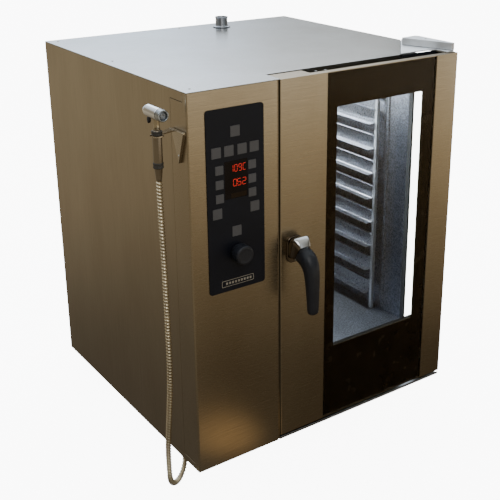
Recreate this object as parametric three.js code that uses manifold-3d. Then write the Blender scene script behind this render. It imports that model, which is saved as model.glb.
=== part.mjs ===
// Combi steamer oven for nine trays, with a side control column, a glass door and a spray handset.
// Millimetres, +Z up. The parts are drawn in the casing's frame: X to the right, Y to the rear,
// Z up from the casing's underside, zero at the casing's front left corner. The whole group is
// then moved so that the origin is the middle of the oven's outline, at floor level.

import * as THREE from 'three';
import { mergeVertices } from 'three/addons/utils/BufferGeometryUtils.js';
import Module from 'manifold-3d';

const wasm = await Module();
wasm.setup();

// ---------------------------------------------------------------- driving dimensions

const CASE_W = 857;
const CASE_D = 820;
const CASE_H = 1000;
const SHEET = 2;
const GAP = 0.3;
const FOOT_H = 64;

const COLUMN_W = 252;
const COLUMN_RETURN = 74;
const FLANGE_RETURN = 18;
const SIDE_NOTCH_LOW = 17;
const SIDE_NOTCH_HIGH = 975;
const FRAME_Y = 73;
const COVER_FRONT_Y = 62;
const COVER_CHAMFER_X = 698;
const CHAMFER_X = 766;
const CHAMFER_Y = 234;

const CAVITY_LEFT = 250;
const CAVITY_RIGHT = 762;
const CAVITY_REAR = 775;
const CAVITY_FLOOR = 180;
const CAVITY_TOP = 905;
const MOUTH_LEFT = 350;
const MOUTH_RIGHT = 752;
const BAFFLE_X = 362;

const RAIL_COUNT = 9;
const RAIL_PITCH = 77.1;
const RAIL_FIRST_Z = 232;
const RAIL_FRONT_Y = 203;
const RAIL_REAR_Y = 740;
const RAIL_H = 46;
const LIP_LOW = 20;
const LIP_HIGH = 10;
const WEB_RIGHT = 736;
const WEB_LEFT = 400;
const POST_W = 18;
const POST_T = 10;
const POST_LEAD = 12;

const DOOR_LEFT = 257.5;
const DOOR_RIGHT = 855;
const DOOR_BOTTOM = 12;
const DOOR_TOP = 998;
const DOOR_D = 58;
const GLASS_LEFT = 403;
const GLASS_RIGHT = 776;
const PANE = 6;
const INNER_PANE = { left: 330, right: 800, bottom: 130, top: 950 };
const AIR_SLOT = { left: 362, right: 822, front: 21 };
const FOLD_R = 2.5;

const HINGE = { x: 838, y: 40 };
const PIN_R = 6;
const HINGE_PLATE_T = 3;
const HINGE_CAP_TOP = 1022;

const HANDLE = { x: 300, z: 552 };
const GRIP_REACH = 95.7;

const MEMBRANE = { left: 46.3, right: 207.4, bottom: 489.5, top: 951.6, radius: 8, front: -2.2 };
const KEY_FRONT = -3;
const KEY_BACK = -1.1;
const KEY_SPACE = 0.4;
const DISPLAY = { left: 95, right: 159, bottom: 728, top: 822 };
const KNOB = { x: 126.8, z: 590, radius: 24.5, reach: 40 };

const HANDSET = { x: -60, y: 31 };
const HEAD_Z = 957;
const HEAD_R = 14.5;
const HOLDER_Z = 903.5;
const HOLDER_T = 3;
const HOLDER_REACH = 76;
const SEAM = 1.2;
const HOSE_R = 6;

const VENT = { x: 555, y: 740, radius: 19, top: 1033 };
const DRAIN = { x: 560, y: 430, radius: 20, bottom: -30 };
const FAN = { y: 430, z: 542, radius: 150 };
const REAR_REACH = 842;

// ---------------------------------------------------------------- finishes

const finish = (color, roughness, metalness) => ({ color, roughness, metalness });
const STEEL = finish(0x9a8a6c, 0.35, 1.0);
const LINER_STEEL = finish(0xa9adb3, 0.3, 1.0);
const CHROME = finish(0xd8d8dc, 0.1, 1.0);
const ZINC = finish(0xb4b6b8, 0.45, 0.9);
const BLACK_PLASTIC = finish(0x1e2026, 0.5, 0.0);
const MEMBRANE_FILM = finish(0x1c1c22, 0.45, 0.0);
const KEY_GREY = finish(0x4a4a50, 0.5, 0.0);
const GLASS = finish(0x241d14, 0.05, 0.0);
const CLEAR_GLASS = finish(0xcfd8d6, 0.05, 0.0);
const RUBBER = finish(0x26282b, 0.8, 0.0);
const CAST_ALUMINIUM = finish(0xc8ccd0, 0.4, 1.0);
const CIRCUIT = finish(0x1f4a32, 0.6, 0.0);
const WOOL = finish(0xc9b98a, 0.95, 0.0);

// ---------------------------------------------------------------- building helpers

// A closed three.js geometry as a manifold solid, for joining and cutting.
function solid(geometry) {
  const bare = geometry.index ? geometry.toNonIndexed() : geometry.clone();
  bare.deleteAttribute('normal');
  bare.deleteAttribute('uv');
  const merged = mergeVertices(bare, 1e-4);
  return new wasm.Manifold(new wasm.Mesh({
    numProp: 3,
    vertProperties: new Float32Array(merged.attributes.position.array),
    triVerts: new Uint32Array(merged.index.array),
  }));
}

function geometryOf(manifold) {
  const mesh = manifold.getMesh();
  const geometry = new THREE.BufferGeometry();
  geometry.setAttribute('position', new THREE.BufferAttribute(mesh.vertProperties, 3));
  geometry.setIndex(new THREE.BufferAttribute(mesh.triVerts, 1));
  geometry.computeVertexNormals();
  return geometry;
}

function join(...pieces) {
  return pieces.reduce((whole, piece) => whole.add(piece));
}

function cut(body, ...tools) {
  return tools.reduce((rest, tool) => rest.subtract(tool), body);
}

function addPart(group, name, body, look, at = [0, 0, 0]) {
  const geometry = body.isBufferGeometry ? body : geometryOf(body);
  const mesh = new THREE.Mesh(geometry, new THREE.MeshStandardMaterial(look));
  mesh.name = name;
  mesh.position.set(...at);
  group.add(mesh);
  return mesh;
}

function outline(points) {
  return new THREE.Shape(points.map(([a, b]) => new THREE.Vector2(a, b)));
}

function roundedRectangle(left, right, bottom, top, radius) {
  const shape = new THREE.Shape();
  shape.moveTo(left + radius, bottom);
  shape.lineTo(right - radius, bottom);
  shape.absarc(right - radius, bottom + radius, radius, -Math.PI / 2, 0);
  shape.lineTo(right, top - radius);
  shape.absarc(right - radius, top - radius, radius, 0, Math.PI / 2);
  shape.lineTo(left + radius, top);
  shape.absarc(left + radius, top - radius, radius, Math.PI / 2, Math.PI);
  shape.lineTo(left, bottom + radius);
  shape.absarc(left + radius, bottom + radius, radius, Math.PI, 1.5 * Math.PI);
  return shape;
}

const asShape = (points) => (Array.isArray(points) ? outline(points) : points);

function extruded(points, depth, curveSegments = 4) {
  return new THREE.ExtrudeGeometry(asShape(points), { depth, bevelEnabled: false, curveSegments });
}

// Slabs cut from an outline: in plan (x, y), in front view (x, z) or in side view (y, z).
function planSlab(points, low, high) {
  return solid(extruded(points, high - low).translate(0, 0, low));
}

function frontSlab(points, front, back, curveSegments) {
  return solid(extruded(points, back - front, curveSegments).rotateX(Math.PI / 2).translate(0, back, 0));
}

function sideSlab(points, left, right) {
  const turn = new THREE.Matrix4().makeBasis(
    new THREE.Vector3(0, 1, 0), new THREE.Vector3(0, 0, 1), new THREE.Vector3(1, 0, 0));
  return solid(extruded(points, right - left).applyMatrix4(turn).translate(left, 0, 0));
}

function block(x0, x1, y0, y1, z0, z1) {
  const box = new THREE.BoxGeometry(x1 - x0, y1 - y0, z1 - z0);
  return solid(box.translate((x0 + x1) / 2, (y0 + y1) / 2, (z0 + z1) / 2));
}

// A turned piece. The profile's points are [radius, height], from the bottom end to the top end,
// on the axis at both ends or closed on itself; axis is 'x', 'y' or 'z'.
function turned(profile, axis, centre, sides = 32) {
  const points = profile.map(([radius, height]) => new THREE.Vector2(radius, height));
  const geometry = new THREE.LatheGeometry(points, sides);
  if (axis === 'z') geometry.rotateX(Math.PI / 2);
  if (axis === 'x') geometry.rotateZ(-Math.PI / 2);
  return solid(geometry.translate(...centre));
}

function rod(radius, axis, centre, low, high, sides = 24) {
  return turned([[0, low], [radius, low], [radius, high], [0, high]], axis, centre, sides);
}

function pipe(inner, outer, axis, centre, low, high, sides = 32) {
  const profile = [[inner, low], [outer, low], [outer, high], [inner, high], [inner, low]];
  return turned(profile, axis, centre, sides);
}

// A round bar that follows a curve and changes width along it. halfWidths(t) gives the half
// width along X and the half thickness across it.
function taperedBar(curve, halfWidths, sides, steps) {
  const geometry = new THREE.CylinderGeometry(1, 1, 1, sides, steps);
  const position = geometry.attributes.position;
  const side = new THREE.Vector3(1, 0, 0);
  for (let i = 0; i < position.count; i += 1) {
    const t = THREE.MathUtils.clamp(position.getY(i) + 0.5, 0, 1);
    const centre = curve.getPoint(t);
    const across = new THREE.Vector3().crossVectors(side, curve.getTangent(t)).normalize();
    const [halfX, halfAcross] = halfWidths(t);
    centre.addScaledVector(side, position.getX(i) * halfX);
    centre.addScaledVector(across, position.getZ(i) * halfAcross);
    position.setXYZ(i, centre.x, centre.y, centre.z);
  }
  return solid(geometry);
}

function curveThrough(points) {
  return new THREE.CatmullRomCurve3(points.map((point) => new THREE.Vector3(...point)));
}

// ---------------------------------------------------------------- groups

const oven = new THREE.Group();
const casing = new THREE.Group();
const door = new THREE.Group();
const handset = new THREE.Group();
casing.add(door, handset);
oven.add(casing);

// ---------------------------------------------------------------- outer casing

function leftSidePanel() {
  const front = COLUMN_RETURN + SEAM;
  const step = FLANGE_RETURN + SEAM;
  const top = CASE_H - SHEET - GAP;
  const rear = CASE_D - SHEET - GAP;
  return sideSlab([
    [step, 0], [rear, 0], [rear, top], [step, top],
    [step, SIDE_NOTCH_HIGH + SEAM], [front, SIDE_NOTCH_HIGH + SEAM],
    [front, SIDE_NOTCH_LOW - SEAM], [step, SIDE_NOTCH_LOW - SEAM],
  ], 0, SHEET);
}

function rightSidePanel() {
  const run = CASE_W - CHAMFER_X;
  const rise = CHAMFER_Y - FRAME_Y;
  const length = Math.hypot(run, rise);
  const inX = SHEET * rise / length;
  const inY = SHEET * run / length;
  const rear = CASE_D - SHEET - GAP;
  return planSlab([
    [CHAMFER_X, FRAME_Y], [CASE_W, CHAMFER_Y], [CASE_W, rear], [CASE_W - SHEET, rear],
    [CASE_W - SHEET, CHAMFER_Y + inY / 2], [CHAMFER_X - inX, FRAME_Y + inY],
  ], 0, CASE_H - SHEET - GAP);
}

function rearPanel() {
  const slotCount = 9;
  const slotPitch = 14;
  const slots = [];
  for (let i = 0; i < slotCount; i += 1) {
    const low = FAN.z - slotCount * slotPitch / 2 + i * slotPitch;
    slots.push(block(50, 210, CASE_D - 5, CASE_D + 5, low, low + 5));
  }
  return cut(block(0, CASE_W, CASE_D - SHEET, CASE_D, 0, CASE_H - SHEET - GAP), ...slots);
}

// The cover is a plate with a lip folded down over the door recess and a hole for the flue.
function topCover() {
  const low = CASE_H - SHEET;
  const plate = planSlab([
    [0, 0], [COLUMN_W + 6, 0], [COLUMN_W + 6, COVER_FRONT_Y], [COVER_CHAMFER_X, COVER_FRONT_Y],
    [CASE_W, CHAMFER_Y], [CASE_W, CASE_D], [0, CASE_D],
  ], low, CASE_H);
  const lip = block(COLUMN_W + 6, COVER_CHAMFER_X, COVER_FRONT_Y, COVER_FRONT_Y + SHEET,
    low - 10, low + 1);
  return cut(join(plate, lip), rod(VENT.radius + 0.6, 'z', [VENT.x, VENT.y, 0], low - 5, 1010));
}

function basePan() {
  const edge = 5;
  const right = CASE_W - SHEET - GAP;
  const rear = CASE_D - SHEET - GAP;
  const plate = planSlab([
    [edge, edge], [COLUMN_W - edge, edge], [COLUMN_W - edge, FRAME_Y + edge],
    [CHAMFER_X - 4, FRAME_Y + edge], [right, CHAMFER_Y + 3], [right, rear], [edge, rear],
  ], 0, SHEET);
  return cut(plate, rod(DRAIN.radius + 0.6, 'z', [DRAIN.x, DRAIN.y, 0], -5, 10));
}

addPart(casing, 'left_side_panel', leftSidePanel(), STEEL);
addPart(casing, 'right_side_panel', rightSidePanel(), STEEL);
addPart(casing, 'rear_panel', rearPanel(), STEEL);
addPart(casing, 'top_cover', topCover(), STEEL);
addPart(casing, 'base_pan', basePan(), ZINC);

// ---------------------------------------------------------------- feet

const FOOT_PLACES = {
  front_left_foot: [132, 142],
  front_right_foot: [725, 142],
  rear_left_foot: [132, 700],
  rear_right_foot: [725, 700],
};

const FOOT_PROFILE = [
  [0, -FOOT_H], [24, -FOOT_H], [24, -FOOT_H + 12], [18, -FOOT_H + 20],
  [18, -10], [28, -8], [28, -GAP], [0, -GAP],
];

for (const [name, [x, y]] of Object.entries(FOOT_PLACES)) {
  addPart(casing, name, turned(FOOT_PROFILE, 'z', [0, 0, 0], 24), ZINC, [x, y, 0]);
}

// ---------------------------------------------------------------- control column

// One folded sheet: front face, left return that wraps round the corner, right return.
function controlFascia() {
  const bend = 4;
  const top = CASE_H - SHEET - GAP;
  const plan = new THREE.Shape();
  plan.moveTo(0, COLUMN_RETURN);
  plan.lineTo(0, bend);
  plan.absarc(bend, bend, bend, Math.PI, 1.5 * Math.PI);
  plan.lineTo(COLUMN_W - bend, 0);
  plan.absarc(COLUMN_W - bend, bend, bend, -Math.PI / 2, 0);
  plan.lineTo(COLUMN_W, FRAME_Y - GAP);
  plan.lineTo(COLUMN_W - SHEET, FRAME_Y - GAP);
  plan.lineTo(COLUMN_W - SHEET, bend);
  plan.lineTo(COLUMN_W - bend, SHEET);
  plan.lineTo(bend, SHEET);
  plan.lineTo(SHEET, bend);
  plan.lineTo(SHEET, COLUMN_RETURN);
  return cut(
    planSlab(plan, 0, top),
    block(-5, 10, FLANGE_RETURN, COLUMN_RETURN + 5, SIDE_NOTCH_HIGH, CASE_H + 5),
    block(-5, 10, FLANGE_RETURN, COLUMN_RETURN + 5, -5, SIDE_NOTCH_LOW),
  );
}

addPart(casing, 'control_fascia', controlFascia(), STEEL);

// Keys: name, centre x, centre z and the side of the square.
const KEYS = [['key_power', 126, 894, 26]];
[72.9, 108, 144.7, 179.1].forEach((x, i) => KEYS.push([`key_mode_${i + 1}`, x, 848, 26]));
[804.5, 769, 734].forEach((z, i) => {
  KEYS.push([`key_left_${i + 1}`, 80.5, z, 22]);
  KEYS.push([`key_right_${i + 1}`, 172.7, z, 22]);
});
KEYS.push(['key_back', 72.7, 697, 26], ['key_next', 179.2, 697, 26], ['key_start', 126.4, 643.8, 26]);

function controlMembrane() {
  const { left, right, bottom, top, radius, front } = MEMBRANE;
  const film = frontSlab(roundedRectangle(left, right, bottom, top, radius), front, -GAP);
  const windows = KEYS.map(([, x, z, side]) => {
    const half = side / 2 + KEY_SPACE;
    return block(x - half, x + half, -5, 5, z - half, z + half);
  });
  windows.push(block(DISPLAY.left - GAP, DISPLAY.right + GAP, -5, 5,
    DISPLAY.bottom - GAP, DISPLAY.top + GAP));
  return cut(film, ...windows);
}

function controlBoard() {
  const board = block(58, 196, 22, 24, 500, 940);
  const posts = [];
  for (const x of [66, 188]) {
    for (const z of [508, 932]) posts.push(rod(4, 'y', [x, 0, z], SHEET + GAP, 23, 12));
  }
  const encoder = block(KNOB.x - 8, KNOB.x + 8, 14, 23, KNOB.z - 8, KNOB.z + 8);
  return join(board, encoder, ...posts);
}

addPart(casing, 'control_membrane', controlMembrane(), MEMBRANE_FILM);
addPart(casing, 'display_window',
  block(DISPLAY.left, DISPLAY.right, -2, -GAP, DISPLAY.bottom, DISPLAY.top), GLASS);
addPart(casing, 'control_board', controlBoard(), CIRCUIT);
for (const [name, x, z, side] of KEYS) {
  const half = side / 2;
  const cap = frontSlab(roundedRectangle(-half, half, -half, half, 1.5), KEY_FRONT, KEY_BACK, 2);
  addPart(casing, name, cap, KEY_GREY, [x, 0, z]);
}

function controlKnob() {
  const r = KNOB.radius;
  const back = -MEMBRANE.front + 0.8;
  return turned([
    [0, -KNOB.reach], [r - 5, -KNOB.reach], [r - 1, -KNOB.reach + 2.5], [r, -KNOB.reach + 6],
    [r, -14], [r - 3, -11], [r - 5, -10], [r - 5, -back], [0, -back],
  ], 'y', [KNOB.x, 0, KNOB.z], 28);
}

addPart(casing, 'control_knob', controlKnob(), BLACK_PLASTIC);

// ---------------------------------------------------------------- cavity

function frontFrame() {
  const left = COLUMN_W - SHEET;
  return cut(
    block(left, CHAMFER_X - 2.1, FRAME_Y, FRAME_Y + SHEET, SHEET + GAP, CASE_H - SHEET - GAP),
    block(MOUTH_LEFT, MOUTH_RIGHT, FRAME_Y - 5, FRAME_Y + 10, CAVITY_FLOOR, CAVITY_TOP),
  );
}

function cavityLiner() {
  const front = FRAME_Y + SHEET + GAP;
  const shell = block(CAVITY_LEFT - SHEET, CAVITY_RIGHT + SHEET, front, CAVITY_REAR + SHEET,
    CAVITY_FLOOR - SHEET, CAVITY_TOP + SHEET);
  const hollow = block(CAVITY_LEFT, CAVITY_RIGHT, front - 5, CAVITY_REAR, CAVITY_FLOOR, CAVITY_TOP);
  const flue = rod(VENT.radius - 2, 'z', [VENT.x, VENT.y, 0], CAVITY_TOP - 10, CAVITY_TOP + 10);
  const sump = rod(DRAIN.radius - 2, 'z', [DRAIN.x, DRAIN.y, 0], CAVITY_FLOOR - 10, CAVITY_FLOOR + 10);
  const shaftHole = rod(14, 'x', [0, FAN.y, FAN.z], CAVITY_LEFT - 10, CAVITY_LEFT + 5);
  return cut(shell, hollow, flue, sump, shaftHole);
}

// Mineral wool round the liner on five sides, held off the liner and the casing.
function insulationJacket() {
  const spare = SHEET + 0.5;
  const front = 140;
  const jacket = block(CAVITY_LEFT - 20, 798, front, CASE_D - 6, CAVITY_FLOOR - 32, CAVITY_TOP + 40);
  const liner = block(CAVITY_LEFT - spare, CAVITY_RIGHT + spare, front - 5, CAVITY_REAR + spare,
    CAVITY_FLOOR - spare, CAVITY_TOP + spare);
  const flue = rod(VENT.radius + 2, 'z', [VENT.x, VENT.y, 0], CAVITY_TOP, CASE_H);
  const sump = rod(DRAIN.radius + 2, 'z', [DRAIN.x, DRAIN.y, 0], 0, CAVITY_FLOOR);
  const shaftHole = rod(50, 'x', [0, FAN.y, FAN.z], CAVITY_LEFT - 40, CAVITY_LEFT);
  return cut(jacket, liner, flue, sump, shaftHole);
}

// The seal is a soft ring between the frame and the door's inner pane; its hinge side slants.
function doorGasket() {
  const outer = roundedRectangle(MOUTH_LEFT - 12, MOUTH_RIGHT + 11, CAVITY_FLOOR - 12,
    CAVITY_TOP + 12, 10);
  const inner = roundedRectangle(MOUTH_LEFT - 3, MOUTH_RIGHT - 6, CAVITY_FLOOR - 3,
    CAVITY_TOP + 3, 6);
  const ring = cut(frontSlab(outer, DOOR_D + 0.4, FRAME_Y - GAP), frontSlab(inner, 0, 100));
  const slant = planSlab([
    [MOUTH_RIGHT - 1, DOOR_D - 1], [MOUTH_RIGHT + 20, DOOR_D - 1],
    [MOUTH_RIGHT + 20, FRAME_Y - 1], [MOUTH_RIGHT + 11, FRAME_Y - 1],
  ], 0, CASE_H);
  return cut(ring, slant);
}

// The baffle splits the cavity; its ring of slots feeds the fan, and air returns round its edges.
function fanBaffle() {
  const plate = block(BAFFLE_X, BAFFLE_X + SHEET, 100, 750, CAVITY_FLOOR + 12, CAVITY_TOP - 12);
  const slotCount = 9;
  const slotPitch = 22;
  const slots = [];
  for (let i = 0; i < slotCount; i += 1) {
    const low = FAN.z + (i - (slotCount - 1) / 2) * slotPitch;
    const half = Math.sqrt(Math.max(110 ** 2 - (low - FAN.z) ** 2, 0));
    slots.push(block(BAFFLE_X - 5, BAFFLE_X + 5, FAN.y - half, FAN.y + half, low - 4, low + 4));
  }
  return cut(plate, ...slots);
}

addPart(casing, 'front_frame', frontFrame(), STEEL);
addPart(casing, 'cavity_liner', cavityLiner(), LINER_STEEL);
addPart(casing, 'insulation_jacket', insulationJacket(), WOOL);
addPart(casing, 'door_gasket', doorGasket(), RUBBER);
addPart(casing, 'fan_baffle', fanBaffle(), LINER_STEEL);

// A tray rack: two posts and nine channels that open towards the middle of the cavity.
// inward is -1 on the right wall and +1 on the left wall.
function trayRack(webFace, inward) {
  const back = webFace - inward * SHEET;
  const span = (a, b) => [Math.min(a, b), Math.max(a, b)];
  const pieces = [];
  for (const front of [RAIL_FRONT_Y - POST_LEAD, RAIL_REAR_Y - 60]) {
    const [left, right] = span(back + inward * 0.5, back - inward * POST_T);
    pieces.push(block(left, right, front, front + POST_W, CAVITY_FLOOR + 0.5, CAVITY_TOP - 10));
  }
  for (let i = 0; i < RAIL_COUNT; i += 1) {
    const z = RAIL_FIRST_Z + i * RAIL_PITCH;
    const profile = [
      [back, z], [webFace + inward * LIP_LOW, z], [webFace + inward * LIP_LOW, z + SHEET],
      [webFace, z + SHEET], [webFace, z + RAIL_H - SHEET],
      [webFace + inward * LIP_HIGH, z + RAIL_H - SHEET], [webFace + inward * LIP_HIGH, z + RAIL_H],
      [back, z + RAIL_H],
    ];
    pieces.push(frontSlab(profile, RAIL_FRONT_Y, RAIL_REAR_Y));
  }
  return join(...pieces);
}

addPart(casing, 'right_tray_rack', trayRack(WEB_RIGHT, -1), LINER_STEEL);
addPart(casing, 'left_tray_rack', trayRack(WEB_LEFT, 1), LINER_STEEL);

// The lamp is a glass dome under the cavity's ceiling, ahead of the trays so none reaches it.
const LAMP_PROFILE = [[0, -26], [18, -22], [26, -12], [28, -4], [34, -4], [34, -GAP], [0, -GAP]];
addPart(casing, 'cavity_lamp', turned(LAMP_PROFILE, 'z', [0, 0, 0], 24), CLEAR_GLASS,
  [570, 145, CAVITY_TOP]);

// ---------------------------------------------------------------- fan, motor and heater

// A radial wheel: back disc, hub and straight blades, turning about X.
function fanWheel() {
  const bladeCount = 12;
  const left = CAVITY_LEFT + 14;
  const disc = rod(FAN.radius, 'x', [0, 0, 0], left, left + 2, 28);
  const hub = rod(16, 'x', [0, 0, 0], left - 4, left + 34, 20);
  const blades = [];
  for (let i = 0; i < bladeCount; i += 1) {
    const blade = new THREE.BoxGeometry(44, 2, 70);
    blade.translate(left + 22.5, 0, FAN.radius - 37);
    blades.push(solid(blade.rotateX(i * 2 * Math.PI / bladeCount)));
  }
  return join(disc, hub, ...blades);
}

function fanMotor() {
  const shaftEnd = CAVITY_LEFT + 14 - 4 - 0.5;
  return turned([
    [0, 92], [48, 92], [58, 100], [58, 196], [48, 208], [30, 210], [30, 214], [7, 214],
    [7, shaftEnd], [0, shaftEnd],
  ], 'x', [0, FAN.y, FAN.z], 24);
}

function heaterRing() {
  const x = CAVITY_LEFT + 45;
  const ringRadius = FAN.radius + 32;
  const ring = solid(new THREE.TorusGeometry(ringRadius, 7, 8, 32).rotateY(Math.PI / 2)
    .translate(x, FAN.y, FAN.z));
  const tails = [-18, 18].map((dy) => rod(7, 'x', [0, FAN.y + dy, FAN.z - ringRadius + 1],
    CAVITY_LEFT + GAP, x, 12));
  return join(ring, ...tails);
}

addPart(casing, 'fan_wheel', fanWheel(), LINER_STEEL, [0, FAN.y, FAN.z]);
addPart(casing, 'fan_motor', fanMotor(), CAST_ALUMINIUM);
addPart(casing, 'heater_ring', heaterRing(), LINER_STEEL);

// ---------------------------------------------------------------- flue, drain and connections

function ventPipe() {
  const tube = pipe(VENT.radius - 2, VENT.radius, 'z', [0, 0, 0], CAVITY_TOP + SHEET + GAP, VENT.top);
  const collar = pipe(VENT.radius - 0.5, VENT.radius + 9, 'z', [0, 0, 0], CASE_H + GAP, CASE_H + 4);
  const rim = pipe(VENT.radius - 1, VENT.radius + 1.5, 'z', [0, 0, 0], VENT.top - 4, VENT.top);
  return join(tube, collar, rim);
}

addPart(casing, 'vent_pipe', ventPipe(), LINER_STEEL, [VENT.x, VENT.y, 0]);
addPart(casing, 'drain_pipe', pipe(DRAIN.radius - 2, DRAIN.radius, 'z', [0, 0, 0], DRAIN.bottom,
  CAVITY_FLOOR - SHEET - GAP), LINER_STEEL, [DRAIN.x, DRAIN.y, 0]);

const WATER_INLET_PROFILE = [
  [0, CASE_D + GAP], [22, CASE_D + GAP], [22, CASE_D + 4], [13, CASE_D + 4],
  [13, REAR_REACH], [0, REAR_REACH],
];
const POWER_GLAND_PROFILE = [
  [0, CASE_D + GAP], [20, CASE_D + GAP], [20, CASE_D + 7], [15, CASE_D + 10],
  [13, CASE_D + 18], [9, CASE_D + 20], [0, CASE_D + 20],
];
addPart(casing, 'water_inlet', turned(WATER_INLET_PROFILE, 'y', [90, 0, 110], 24), ZINC);
addPart(casing, 'power_gland', turned(POWER_GLAND_PROFILE, 'y', [160, 0, 110], 12), BLACK_PLASTIC);

// ---------------------------------------------------------------- hinges, drip tray, strike

// The lower plate stands out of the casing's chamfer under the door's corner, with its pin up.
function lowerHingePlate() {
  const low = DOOR_BOTTOM - 0.7 - HINGE_PLATE_T;
  const plate = planSlab([
    [806, 4], [852, 4], [857, 12], [857, 205], [786, 84], [806, 62],
  ], low, low + HINGE_PLATE_T);
  return join(plate, rod(PIN_R, 'z', [HINGE.x, HINGE.y, 0], low + 1, DOOR_BOTTOM + 24));
}

// The upper bracket is a plate with its pin down, and a cast cap that stands on a recessed foot.
function upperHingeBracket() {
  const low = DOOR_TOP + 0.7;
  const high = low + HINGE_PLATE_T;
  const shadowGap = 1.2;
  const plate = planSlab([
    [826, 12], [850, 12], [855, 17], [857, 24], [857, 232.6], [703, 66], [800, 64], [826, 56],
  ], low, high);
  const pin = rod(PIN_R, 'z', [HINGE.x, HINGE.y, 0], DOOR_TOP - 24, high - 1);
  const foot = planSlab([[850, 26], [852, 156], [802, 156]], high - 1, high + shadowGap + 1);
  const cap = planSlab([
    [845, 17], [847, 14], [853, 14], [857, 19], [857, 160], [850, 168], [798, 165], [794.5, 160],
  ], high + shadowGap, HINGE_CAP_TOP);
  return join(plate, pin, foot, cap);
}

function dripTray() {
  const depth = FRAME_Y - GAP;
  return sideSlab([
    [0, 0], [depth, 0], [depth, 8], [depth - 1.5, 8], [depth - 1.5, 1.5],
    [1.5, 1.5], [1.5, 7], [0, 7],
  ], COLUMN_W + 2, CASE_W - 6);
}

function latchStrike() {
  const back = FRAME_Y - GAP;
  const plate = block(304, 334, back - 2, back, HANDLE.z - 34, HANDLE.z + 34);
  const jaw = block(327, 334, DOOR_D + 3, back - 1, HANDLE.z - 14, HANDLE.z + 14);
  return join(plate, jaw);
}

addPart(casing, 'lower_hinge_plate', lowerHingePlate(), ZINC);
addPart(casing, 'upper_hinge_bracket', upperHingeBracket(), CAST_ALUMINIUM);
addPart(casing, 'drip_tray', dripTray(), STEEL);
addPart(casing, 'latch_strike', latchStrike(), ZINC);

// ---------------------------------------------------------------- door

// Two folded stiles and two end rails, welded into one frame. The rails are open over the air
// space between the panes, so that room air cools the outer pane.
function doorFrame() {
  const bend = (x, y, start) => [0, 30, 60, 90].map((step) => {
    const angle = THREE.MathUtils.degToRad(start + step);
    return [x + FOLD_R * Math.cos(angle), y + FOLD_R * Math.sin(angle)];
  });
  const hookBack = INNER_PANE.left - 0.4;
  const hookRight = INNER_PANE.right + 0.4;
  const inside = 1.4;
  const leftStile = planSlab([
    ...bend(DOOR_LEFT + FOLD_R, FOLD_R, 180), ...bend(GLASS_LEFT - FOLD_R, FOLD_R, 270),
    [GLASS_LEFT, 12], [GLASS_LEFT - SHEET, 12],
    [GLASS_LEFT - SHEET, SHEET], [DOOR_LEFT + SHEET, SHEET], [DOOR_LEFT + SHEET, DOOR_D - SHEET],
    [hookBack, DOOR_D - SHEET], [hookBack, DOOR_D], [DOOR_LEFT, DOOR_D],
  ], DOOR_BOTTOM, DOOR_TOP);
  const rightStile = planSlab([
    ...bend(GLASS_RIGHT + FOLD_R, FOLD_R, 180), ...bend(DOOR_RIGHT - FOLD_R, FOLD_R, 270),
    [DOOR_RIGHT, DOOR_D], [hookRight, DOOR_D],
    [hookRight, DOOR_D - SHEET], [DOOR_RIGHT - SHEET, DOOR_D - SHEET], [DOOR_RIGHT - SHEET, SHEET],
    [GLASS_RIGHT + SHEET, SHEET], [GLASS_RIGHT + SHEET, 12], [GLASS_RIGHT, 12],
  ], DOOR_BOTTOM, DOOR_TOP);
  const rail = (low) => cut(
    block(DOOR_LEFT + 1, DOOR_RIGHT - 1, inside, DOOR_D - 0.1, low, low + SHEET),
    block(AIR_SLOT.left, AIR_SLOT.right, AIR_SLOT.front, DOOR_D + 5, low - 5, low + 5),
  );
  const holder = (z0, z1) => block(GLASS_LEFT - 20, GLASS_RIGHT + 20, PANE + 2, PANE + 4, z0, z1);
  const crossBar = (z) => block(DOOR_LEFT + 1, DOOR_RIGHT - 1, DOOR_D - 12, DOOR_D - PANE - GAP,
    z - 12, z + 12);
  const whole = join(
    leftStile, rightStile, rail(DOOR_BOTTOM), rail(DOOR_TOP - SHEET),
    holder(DOOR_BOTTOM + 0.5, DOOR_BOTTOM + 40), holder(DOOR_TOP - 40, DOOR_TOP - 0.5),
    crossBar(INNER_PANE.bottom), crossBar(INNER_PANE.top),
  );
  return cut(
    whole,
    rod(PIN_R + 0.4, 'z', [HINGE.x, HINGE.y, 0], DOOR_BOTTOM - 5, DOOR_TOP + 5),
    rod(8, 'y', [HANDLE.x, 0, HANDLE.z], -5, DOOR_D + 5),
  );
}

addPart(door, 'door_frame', doorFrame(), STEEL);
addPart(door, 'outer_glass', block(GLASS_LEFT + GAP, GLASS_RIGHT - GAP, 0.6, 0.6 + PANE,
  DOOR_BOTTOM + SHEET + GAP, DOOR_TOP - SHEET - GAP), GLASS);
addPart(door, 'inner_glass', block(INNER_PANE.left, INNER_PANE.right, DOOR_D - PANE, DOOR_D,
  INNER_PANE.bottom, INNER_PANE.top), CLEAR_GLASS);

// ---------------------------------------------------------------- door handle

function handleNeck() {
  const { x, z } = HANDLE;
  const rose = frontSlab(roundedRectangle(x - 20, x + 20, z - 34, z + 37, 15), -12, -GAP);
  const curve = curveThrough([[x, -6, z + 8], [x, -24, z + 22], [x, -52, z + 27]]);
  const neck = taperedBar(curve, (t) => [22 - 2 * t, 29 - 5 * t], 16, 6);
  const spindle = rod(6, 'y', [x, 0, z], -8, DOOR_D + 0.6, 16);
  const mitre = sideSlab([[-36, z - 12], [-84, z + 40], [-110, z + 40], [-110, z - 60]], 250, 350);
  const doorSide = block(x - 60, x + 60, -GAP, 60, z - 80, z + 80);
  return join(cut(join(rose, neck), mitre, doorSide), spindle);
}

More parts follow.
